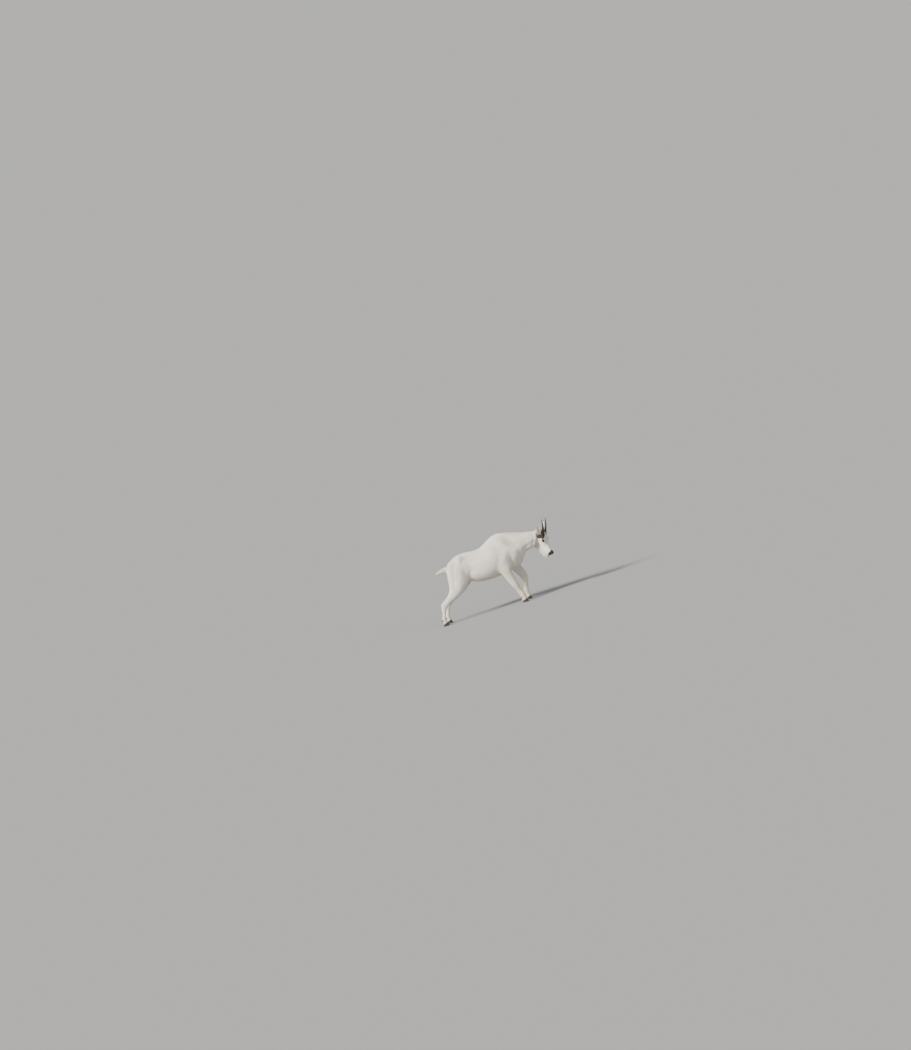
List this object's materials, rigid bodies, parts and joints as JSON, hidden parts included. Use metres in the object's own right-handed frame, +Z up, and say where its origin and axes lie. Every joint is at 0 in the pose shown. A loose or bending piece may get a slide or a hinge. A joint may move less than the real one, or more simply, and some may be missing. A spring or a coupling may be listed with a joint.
{
  "type": "mountain goat figure",
  "caption": "Life-size mountain goat standing on level ground, head lowered and turned a little, with slim black horns and a short beard.",
  "frame": {"origin": "middle of the footprint box at the level of the hoof soles", "axes": "+X forward from tail to head, +Y to the goat's left, +Z up from the ground"},
  "size_m": [1.3758, 0.266, 0.8027],
  "materials": {
    "coat": "short matt coat of fine hair, white with a cream tint",
    "ear": "short matt hair on thin skin",
    "eye": "wet and glossy, very dark brown",
    "horn": "satin horn, nearly black",
    "hoof": "dull horn, dark grey brown"
  },
  "bodies": {
    "root": {"torso": "coat", "neck": "coat", "head": "coat", "tail": "coat", "foreleg_right_upper": "coat", "foreleg_right_lower": "coat", "foreleg_left_upper": "coat", "foreleg_left_lower": "coat", "hindleg_right_upper": "coat", "hindleg_right_lower": "coat", "hindleg_left_upper": "coat", "hindleg_left_lower": "coat", "ear_right": "ear", "ear_left": "ear", "eye_right": "eye", "eye_left": "eye", "horn_right": "horn", "horn_left": "horn", "hoof_foreleg_right_inner": "hoof", "hoof_foreleg_right_outer": "hoof", "hoof_foreleg_left_inner": "hoof", "hoof_foreleg_left_outer": "hoof", "hoof_hindleg_right_inner": "hoof", "hoof_hindleg_right_outer": "hoof", "hoof_hindleg_left_inner": "hoof", "hoof_hindleg_left_outer": "hoof"}
  },
  "joints": []
}
